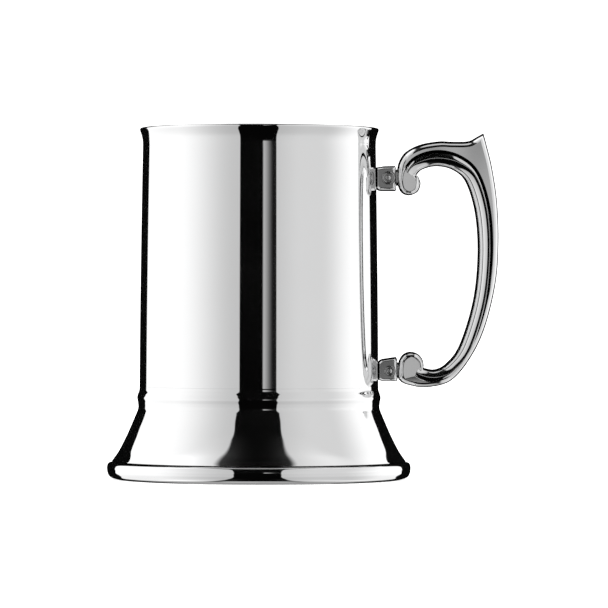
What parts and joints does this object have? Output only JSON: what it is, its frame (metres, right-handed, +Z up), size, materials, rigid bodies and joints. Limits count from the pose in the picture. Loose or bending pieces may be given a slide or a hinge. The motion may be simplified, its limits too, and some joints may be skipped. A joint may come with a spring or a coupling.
{
  "type": "tankard",
  "caption": "Straight-sided polished pewter tankard with a flared foot and a scroll handle carried on two pinned lugs.",
  "frame": {"origin": "the point where the barrel's axis meets the surface that the foot ring stands on, 0.5 mm below the middle of the base plate's flat underside", "axes": "+Z up along the barrel's axis towards the mouth, +X from the axis towards the handle, +Y to the back with the handle on the right"},
  "size_m": [0.1342, 0.104, 0.12],
  "materials": {
    "polished_pewter": "polished",
    "polished_casting": "polished",
    "satin_pewter": "satin"
  },
  "bodies": {
    "root": {"barrel": "polished_pewter", "waist_bead": "polished_pewter", "flared_skirt": "polished_pewter", "foot_ring": "polished_pewter", "base_plate": "satin_pewter", "scroll_handle": "polished_casting", "upper_lug": "polished_casting", "lower_lug": "polished_casting", "upper_cross_pin": "satin_pewter", "upper_rosette_front": "polished_casting", "upper_rosette_back": "polished_casting", "lower_cross_pin": "satin_pewter", "lower_rosette_front": "polished_casting", "lower_rosette_back": "polished_casting"}
  },
  "joints": []
}
